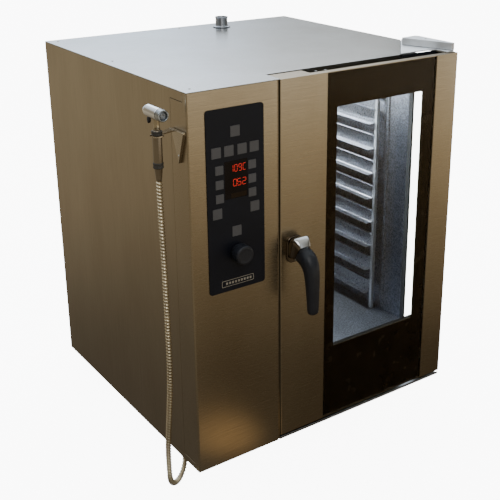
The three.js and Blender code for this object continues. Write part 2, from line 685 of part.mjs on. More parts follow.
function handleGrip() {
  const { x, z } = HANDLE;
  const curve = curveThrough([
    [x, -48, z + 25], [x, -67, z + 14], [x, -78, z - 16], [x, -81, z - 70], [x, -81.5, z - 152],
  ]);
  const halfWidths = (t) => {
    const end = t > 0.94 ? Math.sqrt(Math.max(1 - ((t - 0.94) / 0.065) ** 2, 0)) : 1;
    return [(21.5 - 8 * t) * end, (21.5 - 9 * t) * end];
  };
  const mitre = sideSlab([
    [-36.5, z - 14], [-86, z + 40], [-30, z + 60], [10, z], [-20, z - 30],
  ], 250, 350);
  return cut(taperedBar(curve, halfWidths, 16, 16), mitre);
}

// The cam on the spindle's inner end points at the strike's jaw when the door is shut.
function latchCam() {
  const { x, z } = HANDLE;
  return frontSlab([
    [x - 10, z - 10], [x + 24, z - 7], [x + 24, z + 7], [x - 10, z + 10],
  ], DOOR_D + 1, DOOR_D + 7);
}

addPart(door, 'handle_neck', handleNeck(), CHROME);
addPart(door, 'handle_grip', handleGrip(), BLACK_PLASTIC);
addPart(door, 'latch_cam', latchCam(), ZINC);

// ---------------------------------------------------------------- spray handset and holder

function sprayHead() {
  const { x, y } = HANDSET;
  const head = turned([
    [0, -28], [HEAD_R - 4.5, -28], [HEAD_R - 4.5, -35], [HEAD_R - 0.6, -35], [HEAD_R - 0.6, -20],
    [HEAD_R, -18], [HEAD_R - 0.3, 34], [HEAD_R - 4, 43], [0, 45],
  ], 'y', [x, y, HEAD_Z], 22);
  const neck = turned([[0, 919], [8.4, 919], [6.8, 926], [7.2, HEAD_Z - 4], [0, HEAD_Z - 4]],
    'z', [x, y, 0], 20);
  return join(head, neck);
}

function handsetBody() {
  const seat = HOLDER_Z + HOLDER_T + GAP;
  return turned([
    [0, 799], [6.6, 799], [9.8, 828], [12.4, 829], [12.4, 842], [11, 844],
    [11, seat], [12.8, seat], [12.8, 916], [10.5, 918.7], [0, 918.7],
  ], 'z', [HANDSET.x, HANDSET.y, 0], 22);
}

// The trigger hangs from a pivot under the head's rear end.
function sprayTrigger() {
  const { x, y } = HANDSET;
  return sideSlab([
    [y + 31.5, HEAD_Z - 15.6], [y + 37, HEAD_Z - 15.6], [y + 40, HEAD_Z - 18],
    [y + 39, HEAD_Z - 26], [y + 35, HEAD_Z - 30.5], [y + 31, HEAD_Z - 24],
  ], x - 3.5, x + 3.5);
}

// A fork on a triangular wall plate with one folded edge, under the handset's top collar.
function handsetHolder() {
  const { x, y } = HANDSET;
  const top = HOLDER_Z + HOLDER_T;
  const tip = HOLDER_Z - 74;
  const out = -GAP - 2;
  const wall = sideSlab([
    [7, top], [69, top], [69, HOLDER_Z - 4], [42, tip], [32, tip], [7, HOLDER_Z - 4],
  ], out, -GAP);
  const foldedEdge = sideSlab([
    [7, HOLDER_Z + 1], [9.2, HOLDER_Z + 1], [34.2, tip], [32, tip],
  ], out - 5, -GAP);
  const arm = planSlab([
    [out + 1, 7], [out + 1, 69], [-9, 69], [-50, y + 15], [-48, y + 3], [-10, 44], [-7, 7],
  ], HOLDER_Z, top);
  const ring = rod(HOLDER_REACH + x, 'z', [x, y, 0], HOLDER_Z, top, 24);
  const seat = rod(11.6, 'z', [x, y, 0], HOLDER_Z - 5, top + 5, 24);
  const mouth = block(-HOLDER_REACH - 5, x, y - 8, y + 8, HOLDER_Z - 5, top + 5);
  return cut(join(wall, foldedEdge, arm, ring), seat, mouth);
}

addPart(handset, 'spray_head', sprayHead(), CHROME);
addPart(handset, 'handset_body', handsetBody(), STEEL);
addPart(handset, 'spray_trigger', sprayTrigger(), BLACK_PLASTIC);
addPart(casing, 'handset_holder', handsetHolder(), LINER_STEEL);

// ---------------------------------------------------------------- spray hose

const HOSE_TOP = 798.5;
const HOSE_LOOP = { radius: 45, x: -60, y: 49, z: -10 };
const HOSE_LOOP_TURN = Math.atan2(0.563, 0.827);

const HOSE_HANG = [
  [-60, 31, HOSE_TOP], [-60, 31, 770], [-60, 30, 720], [-60, 27, 640], [-60, 24.5, 560],
  [-60, 23, 480], [-60, 22, 400], [-60, 22, 330], [-60, 26, 262], [-60, 34, 198],
  [-60, 42, 142], [-60, 48, 96], [-60, 51, 54], [-60, 50.5, 20],
];

function hosePath() {
  const { radius, x, y, z } = HOSE_LOOP;
  const points = [...HOSE_HANG];
  for (let degrees = 0; degrees <= 180; degrees += 22.5) {
    const angle = THREE.MathUtils.degToRad(degrees);
    const out = radius * (1 - Math.cos(angle));
    points.push([
      x + out * Math.cos(HOSE_LOOP_TURN), y + out * Math.sin(HOSE_LOOP_TURN),
      z - radius * Math.sin(angle),
    ]);
  }
  return curveThrough(points);
}

function hoseTube() {
  const sides = 10;
  const section = new THREE.Shape();
  for (let i = 0; i < sides; i += 1) {
    const angle = i * 2 * Math.PI / sides;
    const place = [HOSE_R * Math.cos(angle), HOSE_R * Math.sin(angle)];
    if (i === 0) section.moveTo(...place);
    else section.lineTo(...place);
  }
  return new THREE.ExtrudeGeometry(section, {
    steps: 56, bevelEnabled: false, extrudePath: hosePath(),
  });
}

// The hose ends in a union nut under the base, beside the casing's left edge.
function hoseInlet() {
  const { radius, x, y, z } = HOSE_LOOP;
  const centre = [
    x + 2 * radius * Math.cos(HOSE_LOOP_TURN), y + 2 * radius * Math.sin(HOSE_LOOP_TURN), 0,
  ];
  return turned([[0, z + 1.2], [11, z + 1.2], [11, -3], [14, -2], [14, -GAP], [0, -GAP]],
    'z', centre, 6);
}

addPart(casing, 'spray_hose', solid(hoseTube()), LINER_STEEL);
addPart(casing, 'hose_inlet', hoseInlet(), CHROME);

// ---------------------------------------------------------------- origin

casing.position.set(
  -(CASE_W - HOLDER_REACH) / 2,
  -(REAR_REACH - GRIP_REACH) / 2,
  FOOT_H,
);

export default oven;
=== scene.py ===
"""Looks of the combi steamer oven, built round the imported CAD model.

Lengths in this script are millimetres in the casing's frame, as in the CAD source: X to the right,
Y to the rear, Z up from the casing's underside, zero at its front left corner. at() turns such a
place into the row frame in metres, and every mesh is made through it.
"""

import math

import bmesh
import bpy
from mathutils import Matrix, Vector


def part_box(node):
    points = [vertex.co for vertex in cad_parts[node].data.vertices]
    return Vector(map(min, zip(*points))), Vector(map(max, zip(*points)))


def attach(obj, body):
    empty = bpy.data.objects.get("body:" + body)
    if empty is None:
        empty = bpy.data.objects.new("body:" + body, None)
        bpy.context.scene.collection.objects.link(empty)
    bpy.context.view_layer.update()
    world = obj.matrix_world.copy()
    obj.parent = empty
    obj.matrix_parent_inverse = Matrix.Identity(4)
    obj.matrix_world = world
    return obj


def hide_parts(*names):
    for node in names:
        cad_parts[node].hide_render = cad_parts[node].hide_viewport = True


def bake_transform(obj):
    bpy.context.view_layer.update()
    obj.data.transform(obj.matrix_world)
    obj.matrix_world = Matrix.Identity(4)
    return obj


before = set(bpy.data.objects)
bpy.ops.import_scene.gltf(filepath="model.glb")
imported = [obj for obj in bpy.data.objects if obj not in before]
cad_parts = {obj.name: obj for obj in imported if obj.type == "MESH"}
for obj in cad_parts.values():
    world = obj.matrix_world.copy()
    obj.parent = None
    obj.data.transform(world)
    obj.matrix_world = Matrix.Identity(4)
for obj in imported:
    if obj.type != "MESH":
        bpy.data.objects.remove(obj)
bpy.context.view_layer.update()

MM = 0.001
CASE_CORNER = Vector(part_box("control_fascia")[0])


def at(x, y, z):
    return CASE_CORNER + Vector((x, y, z)) * MM


# ------------------------------------------------------------------ camera

CAMERA_PLACE = (-975.6, -1735.3, 1460.1)
CAMERA_LOOK = (0.5512, 0.7671, -0.3282)
CAMERA_LENS = 65.56
SENSOR_WIDTH = 36.0
CAMERA_SHIFT = (-0.07, -0.12)


def make_camera():
    data = bpy.data.cameras.new("camera")
    data.sensor_width = SENSOR_WIDTH
    data.lens = CAMERA_LENS
    data.shift_x, data.shift_y = CAMERA_SHIFT
    data.clip_start = 0.05
    data.clip_end = 60.0
    camera = bpy.data.objects.new("camera", data)
    bpy.context.scene.collection.objects.link(camera)
    camera.location = at(*CAMERA_PLACE)
    camera.rotation_mode = "QUATERNION"
    camera.rotation_quaternion = Vector(CAMERA_LOOK).to_track_quat("-Z", "Y")
    bpy.context.scene.camera = camera


make_camera()

# ------------------------------------------------------------------ mesh helpers


def add_object(name, bm, material, body, replaces=(), smooth=True, bevel=0.0):
    """Turns a bmesh in casing millimetres into a piece that rides on a body."""
    bmesh.ops.recalc_face_normals(bm, faces=bm.faces)
    for vertex in bm.verts:
        vertex.co = at(*vertex.co)
    mesh = bpy.data.meshes.new(name)
    bm.to_mesh(mesh)
    bm.free()
    piece = bpy.data.objects.new(name, mesh)
    bpy.context.scene.collection.objects.link(piece)
    mesh.materials.append(material)
    if bevel:
        soften(piece, bevel)
    for face in mesh.polygons:
        face.use_smooth = smooth
    if smooth:
        mark_sharp(mesh)
    if body:
        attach(piece, body)
    if replaces:
        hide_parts(*replaces)
    return piece


SHARP_ANGLE = math.radians(35)
BEVEL_SEGMENTS = 3
BEVEL_ANGLE = math.radians(40)


def mark_sharp(mesh):
    """Edges steeper than SHARP_ANGLE stay crisp on a smooth shaded mesh."""
    bm = bmesh.new()
    bm.from_mesh(mesh)
    for edge in bm.edges:
        edge.smooth = len(edge.link_faces) == 2 and edge.calc_face_angle(0) < SHARP_ANGLE
    bm.to_mesh(mesh)
    bm.free()


def soften(piece, width):
    """A rounded edge all round, width in millimetres."""
    weld = piece.modifiers.new("weld", "WELD")
    weld.merge_threshold = 1e-5
    bevel = piece.modifiers.new("bevel", "BEVEL")
    bevel.width = width * MM
    bevel.segments = BEVEL_SEGMENTS
    bevel.limit_method = "ANGLE"
    bevel.angle_limit = BEVEL_ANGLE
    bevel.harden_normals = True


def outline_ring(bm, outline, axis, level):
    """The outline's vertices at a level. Its points are (y, z), (x, z) or (x, y)."""
    places = {
        "x": lambda a, b: (level, a, b),
        "y": lambda a, b: (a, level, b),
        "z": lambda a, b: (a, b, level),
    }
    return [bm.verts.new(places[axis](a, b)) for a, b in outline]


def join_rings(bm, first, second):
    """A closed band of faces between two rings with the same number of vertices."""
    count = len(first)
    for i in range(count):
        j = (i + 1) % count
        bm.faces.new((first[i], first[j], second[j], second[i]))


def prism(outline, axis, low, high):
    """A flat outline pushed along an axis."""
    bm = bmesh.new()
    rings = [outline_ring(bm, outline, axis, level) for level in (low, high)]
    for ring in rings:
        bm.faces.new(ring)
    join_rings(bm, *rings)
    return bm


def rectangle(left, right, low, high):
    return [(left, low), (right, low), (right, high), (left, high)]


def rounded_outline(left, right, bottom, top, radius, steps=8):
    points = []
    corners = [
        (right - radius, bottom + radius, -90), (right - radius, top - radius, 0),
        (left + radius, top - radius, 90), (left + radius, bottom + radius, 180),
    ]
    for cx, cz, start in corners:
        for i in range(steps + 1):
            angle = math.radians(start + 90 * i / steps)
            points.append((cx + radius * math.cos(angle), cz + radius * math.sin(angle)))
    return points


def framed(outer, inner, axis, low, high):
    """A flat frame between two outlines with the same number of points."""
    bm = bmesh.new()
    outer_low, outer_high, inner_low, inner_high = [
        outline_ring(bm, outline, axis, level)
        for outline in (outer, inner) for level in (low, high)
    ]
    join_rings(bm, outer_low, outer_high)
    join_rings(bm, inner_low, inner_high)
    join_rings(bm, outer_low, inner_low)
    join_rings(bm, outer_high, inner_high)
    return bm


def turned(profile, axis, centre, sides=64):
    """A turned piece; profile points are (radius, place along the axis)."""
    directions = {"x": (1, 2, 0), "y": (2, 0, 1), "z": (0, 1, 2)}[axis]
    bm = bmesh.new()
    rings = []
    for radius, along in profile:
        ring = []
        for i in range(1 if radius == 0 else sides):
            angle = 2 * math.pi * i / sides
            place = [0.0, 0.0, 0.0]
            place[directions[0]] = radius * math.cos(angle)
            place[directions[1]] = radius * math.sin(angle)
            place[directions[2]] = along
            ring.append(bm.verts.new(Vector(place) + Vector(centre)))
        rings.append(ring)
    for first, second in zip(rings, rings[1:]):
        for i in range(sides):
            j = (i + 1) % sides
            corners = [
                first[i % len(first)], first[j % len(first)],
                second[j % len(second)], second[i % len(second)],
            ]
            corners = list(dict.fromkeys(corners))
            if len(corners) > 2:
                bm.faces.new(corners)
    return bm


def rounded_profile(points, radius, steps=4):
    """Rounds the inner corners of a (radius, along) profile with short arcs."""
    result = [points[0]]
    for before, corner, after in zip(points, points[1:], points[2:]):
        a, b, c = Vector(before), Vector(corner), Vector(after)
        reach = min(radius, (a - b).length * 0.45, (c - b).length * 0.45)
        start = b + (a - b).normalized() * reach
        end = b + (c - b).normalized() * reach
        for i in range(steps + 1):
            t = i / steps
            place = start * (1 - t) ** 2 + b * 2 * t * (1 - t) + end * t ** 2
            result.append((place.x, place.y))
    result.append(points[-1])
    return result


def swept(stations, sides=40, squareness=2.0):
    """A closed bar through stations (centre, across direction, half width in X, half across)."""
    bm = bmesh.new()
    rings = []
    for centre, across, half_x, half_across in stations:
        ring = []
        for i in range(sides):
            angle = 2 * math.pi * i / sides
            c, s = math.cos(angle), math.sin(angle)
            power = 2.0 / squareness
            px = math.copysign(abs(c) ** power, c) * half_x
            pa = math.copysign(abs(s) ** power, s) * half_across
            ring.append(bm.verts.new(Vector(centre) + Vector((px, 0, 0)) + Vector(across) * pa))
        rings.append(ring)
    for first, second in zip(rings, rings[1:]):
        join_rings(bm, first, second)
    for ring in (rings[0], rings[-1]):
        bm.faces.new(ring)
    return bm


def smooth_path(points, steps):
    """A Catmull-Rom curve through the points, evenly stepped in parameter."""
    ends = [Vector(points[0]) * 2 - Vector(points[1])]
    knots = ends + [Vector(p) for p in points] + [Vector(points[-1]) * 2 - Vector(points[-2])]
    result = []
    spans = len(points) - 1
    for i in range(steps + 1):
        t = i / steps * spans
        k = min(int(t), spans - 1)
        u = t - k
        a, b, c, d = knots[k:k + 4]
        result.append(0.5 * (
            2 * b + (c - a) * u + (2 * a - 5 * b + 4 * c - d) * u ** 2
            + (3 * b - a - 3 * c + d) * u ** 3
        ))
    return result


def merge(first, second):
    """Adds the second bmesh's faces to the first."""
    copies = {vertex: first.verts.new(vertex.co) for vertex in second.verts}
    for face in second.faces:
        first.faces.new([copies[vertex] for vertex in face.verts])
    second.free()
    return first


# ------------------------------------------------------------------ materials


class Nodes:
    """A small builder for the node tree of a material or of the world."""

    def __init__(self, owner):
        owner.use_nodes = True
        self.owner = owner
        self.tree = owner.node_tree
        self.shader = self.tree.nodes.get("Principled BSDF")

    def add(self, kind, **values):
        node = self.tree.nodes.new(kind)
        for key, value in values.items():
            setattr(node, key, value)
        return node

    def link(self, output, socket):
        self.tree.links.new(output, socket)

    def set(self, **values):
        for key, value in values.items():
            self.shader.inputs[key.replace("_", " ")].default_value = value

    def place(self, stretch=(1, 1, 1)):
        """Object coordinates, which are the row frame, stretched."""
        coordinates = self.add("ShaderNodeTexCoord")
        mapping = self.add("ShaderNodeMapping")
        mapping.inputs["Scale"].default_value = stretch
        self.link(coordinates.outputs["Object"], mapping.inputs["Vector"])
        return mapping.outputs["Vector"]

    def noise(self, place, scale, detail=3.0, roughness=0.55):
        node = self.add("ShaderNodeTexNoise")
        node.inputs["Scale"].default_value = scale
        node.inputs["Detail"].default_value = detail
        node.inputs["Roughness"].default_value = roughness
        self.link(place, node.inputs["Vector"])
        return node.outputs["Fac"]

    def ramp(self, value, low, high, from_low=0.0, from_high=1.0):
        """Maps a value to low..high."""
        node = self.add("ShaderNodeMapRange")
        node.inputs["From Min"].default_value = from_low
        node.inputs["From Max"].default_value = from_high
        node.inputs["To Min"].default_value = low
        node.inputs["To Max"].default_value = high
        self.link(value, node.inputs["Value"])
        return node.outputs["Result"]

    def mix(self, factor, first, second, blend="MIX"):
        """Mixes two colours; each is an output socket or a colour."""
        node = self.add("ShaderNodeMix", data_type="RGBA", blend_type=blend)
        sockets = [s for s in node.inputs if s.type == "RGBA"]
        for socket, colour in zip(sockets, (first, second)):
            if isinstance(colour, bpy.types.NodeSocket):
                self.link(colour, socket)
            else:
                socket.default_value = (*colour, 1.0)
        if isinstance(factor, bpy.types.NodeSocket):
            self.link(factor, node.inputs["Factor"])
        else:
            node.inputs["Factor"].default_value = factor
        return [s for s in node.outputs if s.type == "RGBA"][0]

    def bump(self, height, strength, distance):
        node = self.add("ShaderNodeBump")
        node.inputs["Strength"].default_value = strength
        node.inputs["Distance"].default_value = distance
        self.link(height, node.inputs["Height"])
        self.link(node.outputs["Normal"], self.shader.inputs["Normal"])


def material_nodes(name):
    return Nodes(bpy.data.materials.new(name))


GRAIN_DEPTH = 0.22


def brushed_steel(name, colour, deep, roughness, grain):
    """Brushed sheet: long fine grain, faint smears, and a slow drift of tone.

    grain stretches the noise, large across the brushing and small along it."""
    n = material_nodes(name)
    fine = n.noise(n.place(grain), 1.0, 4.0, 0.7)
    smear = n.noise(n.place((3.0, 3.0, 1.2)), 1.6, 4.0)
    base = n.mix(n.ramp(smear, 0.0, 1.0, 0.3, 0.7), colour, deep)
    depth = n.ramp(fine, 0.0, GRAIN_DEPTH, 0.25, 0.75)
    lines = n.mix(depth, base, (0.02, 0.015, 0.01), "MULTIPLY")
    n.link(lines, n.shader.inputs["Base Color"])
    n.set(Metallic=1.0)
    uneven = n.ramp(fine, roughness - 0.05, roughness + 0.07, 0.2, 0.8)
    n.link(uneven, n.shader.inputs["Roughness"])
    n.bump(fine, 0.12, 0.0004)
    return n.owner


def satin_metal(name, colour, roughness, speckle=260.0, fleck=0.0):
    """Plated or cast metal with a fine, even grain; fleck darkens the low spots of the grain."""
    n = material_nodes(name)
    grain = n.noise(n.place(), speckle, 3.0)
    tone = n.noise(n.place(), 9.0, 3.0)
    dark = tuple(c * 0.8 for c in colour)
    base = n.mix(n.ramp(tone, 0.0, 1.0, 0.35, 0.65), colour, dark)
    flecked = n.mix(n.ramp(grain, fleck, 0.0, 0.35, 0.65), base, (0.05, 0.05, 0.06))
    n.link(flecked, n.shader.inputs["Base Color"])
    n.set(Metallic=1.0)
    n.link(n.ramp(grain, roughness - 0.04, roughness + 0.08), n.shader.inputs["Roughness"])
    n.bump(grain, 0.1, 0.0003)
    return n.owner


def moulded(name, colour, roughness, texture=700.0, depth=0.0002, specular=0.5,
            gloss=(1.0, 1.0, 1.0)):
    """Moulded plastic, rubber or film with fine texture; gloss tints its reflections."""
    n = material_nodes(name)
    grain = n.noise(n.place(), texture, 2.0)
    rub = n.noise(n.place(), 14.0, 3.0)
    light = tuple(min(c * 1.35 + 0.004, 1.0) for c in colour)
    n.link(n.mix(n.ramp(rub, 0.0, 0.6, 0.4, 0.75), colour, light), n.shader.inputs["Base Color"])
    n.link(n.ramp(rub, roughness - 0.06, roughness + 0.08, 0.3, 0.7), n.shader.inputs["Roughness"])
    n.set(Specular_IOR_Level=specular, Specular_Tint=(*gloss, 1.0))
    n.bump(grain, 0.25, depth)
    return n.owner


def pane(name, colour, index, smudge=0.03, gloss=(1.0, 1.0, 1.0)):
    """Clear glass with faint smudges; gloss tints what it reflects."""
    n = material_nodes(name)
    marks = n.noise(n.place((1.0, 1.0, 0.6)), 7.0, 5.0)
    n.link(n.ramp(marks, 0.0, smudge, 0.45, 0.8), n.shader.inputs["Roughness"])
    tint = n.mix(n.ramp(marks, 0.0, 1.0), colour, tuple(c * 0.97 for c in colour))
    n.link(tint, n.shader.inputs["Base Color"])
    n.set(Transmission_Weight=1.0, IOR=index, Specular_Tint=(*gloss, 1.0))
    return n.owner


def glowing(name, colour, strength):
    n = material_nodes(name)
    flicker = n.noise(n.place(), 300.0, 2.0)
    deep = tuple(c * 0.6 for c in colour)
    n.link(n.mix(n.ramp(flicker, 0.0, 0.4), colour, deep), n.shader.inputs["Base Color"])
    n.shader.inputs["Emission Color"].default_value = (*colour, 1.0)
    n.set(Emission_Strength=strength, Roughness=0.4)
    return n.owner


UPRIGHT_GRAIN = (900.0, 900.0, 9.0)
FLAT_GRAIN = (9.0, 900.0, 900.0)

# The steel's warm base colour is partly its own tone and partly painted reflection: the warmth of
# the room's reflected light is painted in.
STEEL = brushed_steel("steel", (0.47, 0.40, 0.29), (0.40, 0.33, 0.23), 0.30, UPRIGHT_GRAIN)
FRONT_STEEL = brushed_steel("front_steel", (0.47, 0.40, 0.29), (0.40, 0.33, 0.23), 0.28, FLAT_GRAIN)
# The top cover's steel is a lighter, cooler copy of the side steel: painted reflection of the
# bright sky over the lit top.
TOP_STEEL = brushed_steel("top_steel", (0.61, 0.62, 0.625), (0.55, 0.55, 0.54), 0.24, FLAT_GRAIN)
LINER = brushed_steel("liner_steel", (0.55, 0.58, 0.63), (0.46, 0.49, 0.54), 0.27, FLAT_GRAIN)
CAVITY_STEEL = satin_metal("cavity_steel", (0.40, 0.43, 0.50), 0.40, 230.0, 0.7)
RACK_STEEL = satin_metal("rack_steel", (0.60, 0.63, 0.70), 0.27, 230.0, 0.45)
# The rack posts are a lighter copy of the rack steel: painted light, so they read lit.
POST_STEEL = satin_metal("post_steel", (0.80, 0.83, 0.88), 0.55, 300.0, 0.2)
# The wall plate's warm colour is partly painted reflection of the dark, warm surroundings, as on
# the casing's steel.
BRACKET_STEEL = satin_metal("bracket_steel", (0.46, 0.40, 0.31), 0.25)
CHROME = satin_metal("chrome", (0.84, 0.85, 0.87), 0.09, 500.0)
RING_METAL = satin_metal("ring_metal", (0.40, 0.43, 0.46), 0.22, 500.0)
ROSE_METAL = satin_metal("rose_metal", (0.30, 0.33, 0.37), 0.4, 500.0)
# Chrome painted dark brown: painted reflection of the dark floor on the handle's rose and boss, and
# painted shade on the neck's sides.
PAINTED_SHADE_CHROME = satin_metal("painted_shade_chrome", (0.16, 0.13, 0.10), 0.16, 500.0)
BRONZE = satin_metal("bronze", (0.42, 0.36, 0.25), 0.2, 500.0)
ZINC = satin_metal("zinc", (0.60, 0.60, 0.59), 0.38)
CAST = satin_metal("cast_aluminium", (0.93, 0.95, 0.97), 0.55)
# The sleeve's brown colour is painted reflection: it stands for the warm room reflected in the
# polished sleeve.
HANDSET_METAL = brushed_steel("handset_metal", (0.34, 0.29, 0.22), (0.24, 0.20, 0.15), 0.30,
                              UPRIGHT_GRAIN)
HOSE_METAL = satin_metal("hose_metal", (0.62, 0.53, 0.37), 0.26, 900.0)
BLACK = moulded("black_plastic", (0.011, 0.0125, 0.018), 0.42, specular=0.4)
FILM = moulded("membrane", (0.006, 0.007, 0.012), 0.46, 900.0, 0.0001, specular=0.22)
KEY = moulded("key_plastic", (0.075, 0.075, 0.082), 0.45, 900.0, 0.0001)
RUBBER = moulded("gasket_rubber", (0.05, 0.055, 0.06), 0.7)
COLLAR = moulded("dark_collar", (0.03, 0.027, 0.024), 0.5)
WINDOW = moulded("display_glass", (0.006, 0.0035, 0.0035), 0.25, 60.0, 0.00002, specular=0.15)
DIM_WINDOW = moulded("dim_digits", (0.016, 0.008, 0.003), 0.3, 60.0, 0.00002, specular=0.15)
# The door glass reflects with a warm tint: painted reflection of the room's warm light.
DOOR_GLASS = pane("door_glass", (0.93, 0.93, 0.90), 1.13, gloss=(1.0, 0.72, 0.42))
CLEAR_GLASS = pane("clear_glass", (0.94, 0.96, 0.95), 1.3)
# Warm gloss tint as on the door glass: painted reflection.
BORDER = moulded("glass_border", (0.011, 0.006, 0.0018), 0.22, 40.0, 0.00001, specular=0.14,
                 gloss=(1.0, 0.75, 0.45))
DIGITS = glowing("display_digits", (0.80, 0.03, 0.02), 0.55)
BOARD = moulded("circuit_board", (0.02, 0.10, 0.045), 0.4, 300.0)
WOOL = moulded("mineral_wool", (0.50, 0.41, 0.22), 0.95, 220.0, 0.002)

# ------------------------------------------------------------------ looks of the CAD nodes

CAD_LOOKS = {
    "left_side_panel": (STEEL, 0.6), "right_side_panel": (STEEL, 0.6), "rear_panel": (STEEL, 0.6),
    "top_cover": (TOP_STEEL, 0.8), "base_pan": (ZINC, 0.4), "control_fascia": (FRONT_STEEL, 0.6),
    "control_membrane": (FILM, 0.4), "display_window": (WINDOW, 0.3), "control_board": (BOARD, 0.3),
    "front_frame": (LINER, 0.4), "cavity_liner": (CAVITY_STEEL, 0.5),
    "insulation_jacket": (WOOL, 2.0), "door_gasket": (RUBBER, 2.5),
    "fan_baffle": (CAVITY_STEEL, 0.5), "cavity_lamp": (CLEAR_GLASS, 0.0), "fan_wheel": (LINER, 0.4),
    "fan_motor": (CAST, 1.5), "heater_ring": (LINER, 0.0), "drain_pipe": (LINER, 0.3),
    "water_inlet": (ZINC, 0.6), "power_gland": (BLACK, 0.8), "lower_hinge_plate": (ZINC, 0.8),
    "drip_tray": (LINER, 0.4), "latch_strike": (ZINC, 0.5), "door_frame": (FRONT_STEEL, 0.6),
    "outer_glass": (DOOR_GLASS, 0.5), "inner_glass": (CLEAR_GLASS, 0.5), "latch_cam": (ZINC, 0.6),
    "spray_trigger": (BLACK, 0.8), "handset_holder": (BRACKET_STEEL, 0.3),
    "hose_inlet": (CHROME, 0.5), "upper_hinge_bracket": (CAST, 1.2),
}
for key_name in [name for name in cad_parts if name.startswith("key_")]:
    CAD_LOOKS[key_name] = (KEY, 0.5)


def dress(name, material, bevel):
    """Gives a CAD node its material and a small rounded edge."""
    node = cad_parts[name]
    node.data.materials.clear()
    node.data.materials.append(material)
    if bevel:
        soften(node, bevel)


for node_name, (look, edge) in CAD_LOOKS.items():
    dress(node_name, look, edge)

# ------------------------------------------------------------------ door glass border

GLASS_LEFT, GLASS_RIGHT = 403.3, 775.7
GLASS_BOTTOM, GLASS_TOP = 14.3, 995.7
WINDOW_LEFT, WINDOW_RIGHT, WINDOW_BOTTOM, WINDOW_TOP = 438.5, 731.0, 225.0, 905.5
PRINT_MARGIN = 0.3
PANE_BACK = 6.6


def door_border():
    """The black print behind the outer pane, with the window left clear."""
    outer = rounded_outline(GLASS_LEFT + PRINT_MARGIN, GLASS_RIGHT - PRINT_MARGIN,
                            GLASS_BOTTOM + PRINT_MARGIN, GLASS_TOP - PRINT_MARGIN, 1.0)
    inner = rounded_outline(WINDOW_LEFT, WINDOW_RIGHT, WINDOW_BOTTOM, WINDOW_TOP, 3.0)
    bm = framed(outer, inner, "y", PANE_BACK + 0.15, PANE_BACK + 0.55)
    add_object("door_glass_border", bm, BORDER, "door", smooth=False)


door_border()

CLIP_PLACES = (384.0, 413.0)
CLIP_HALF_WIDTH = 3.5


def edge_trims():
    """The column's turned-back edge, a black sheet of painted shade in the slot in the door's top,
    and the clips in the slot.
    """
    fold = [(252.1, 1.4), (253.1, 0.9), (253.7, 2.2), (253.7, 26), (252.1, 26)]
    add_object("column_edge_fold", prism(fold, "z", 3, 997), FRONT_STEEL, "root",
               smooth=False)
    # A black sheet behind the slot: painted shade, standing for the shade inside the door's top.
    add_object("door_slot_painted_shade", prism(rectangle(702, 832, 55.2, 56.6), "z", 960, 999.6), BLACK,
               "door", smooth=False)
    for i, x in enumerate(CLIP_PLACES):
        clip = rectangle(x - CLIP_HALF_WIDTH, x + CLIP_HALF_WIDTH, 24.0, 27.5)
        add_object(f"door_slot_clip_{i + 1}", prism(clip, "z", 985, 999.4), ZINC, "door",
                   smooth=False)


edge_trims()

SPACER_BOTTOM = 219


def pane_spacer():
    """The bright bar and the dark seal behind the window's lower edge."""
    for name, material, slot, front, top in (
            ("pane_spacer_bar", CHROME, "chrome", PANE_BACK + 1.2, 227.2),
            ("pane_spacer_seal", RUBBER, "gasket_rubber", PANE_BACK + 2.6, 234.5)):
        outline = rectangle(436, 734, front, front + 1.2)
        add_object(name, prism(outline, "z", SPACER_BOTTOM, top), material, "door",
                   smooth=False)


pane_spacer()

# ------------------------------------------------------------------ display digits

SEGMENTS = {
    "0": "abcdef", "1": "bc", "2": "abged", "5": "afgcd", "9": "abcdfg", "C": "adef",
}
DIGIT_FACE_Y = -2.05
DIGIT_DEPTH = 0.12
DIGIT_HEIGHT = 16.5
DIGIT_BAR = 1.3
DIGITS_RIGHT = 154.5
COLON_HALF = 0.9


def segment_bars(width, height):
    """Each bar of a seven-segment figure as (centre x, centre z, half length, is upright)."""
    side, half = width / 2, height / 2
    return {
        "a": (0, half, side, False), "g": (0, 0, side, False), "d": (0, -half, side, False),
        "f": (-side, half / 2, half / 2, True), "b": (side, half / 2, half / 2, True),
        "e": (-side, -half / 2, half / 2, True), "c": (side, -half / 2, half / 2, True),
    }


def raised(outline):
    return prism(outline, "y", DIGIT_FACE_Y - DIGIT_DEPTH, DIGIT_FACE_Y)


def digit(character, x, z, width):
    bm = bmesh.new()
    bars = segment_bars(width, DIGIT_HEIGHT)
    half = DIGIT_BAR / 2
    for letter in SEGMENTS[character]:
        cx, cz, reach, upright = bars[letter]
        reach -= DIGIT_BAR * 0.3
        outline = [
            (-reach, 0), (-reach + half, -half), (reach - half, -half),
            (reach, 0), (reach - half, half), (-reach + half, half),
        ]
        if upright:
            outline = [(b, a) for a, b in outline]
        merge(bm, raised([(x + cx + a, z + cz + b) for a, b in outline]))
    return bm


def display_row(name, text, z, width, pitch):
    """Figures set from the right; a colon takes less than a whole place."""
    bm = bmesh.new()
    x = DIGITS_RIGHT - width / 2
    for character in reversed(text):
        if character == ":":
            x += pitch * 0.62
            for dz in (-DIGIT_HEIGHT * 0.22, DIGIT_HEIGHT * 0.22):
                merge(bm, raised(rectangle(x - COLON_HALF, x + COLON_HALF,
                                           z + dz - COLON_HALF, z + dz + COLON_HALF)))
            x -= pitch * 0.45
        else:
            merge(bm, digit(character, x, z, width))
            x -= pitch
    add_object(name, bm, DIGITS, "root", smooth=False)


def unlit_row():
    """The third row of figures, dark."""
    outline = rounded_outline(112, 156, 729, 741, 1.0)
    add_object("digits_lower_unlit", prism(outline, "y", DIGIT_FACE_Y - 0.04, DIGIT_FACE_Y + 0.02),
               DIM_WINDOW, "root", smooth=False)


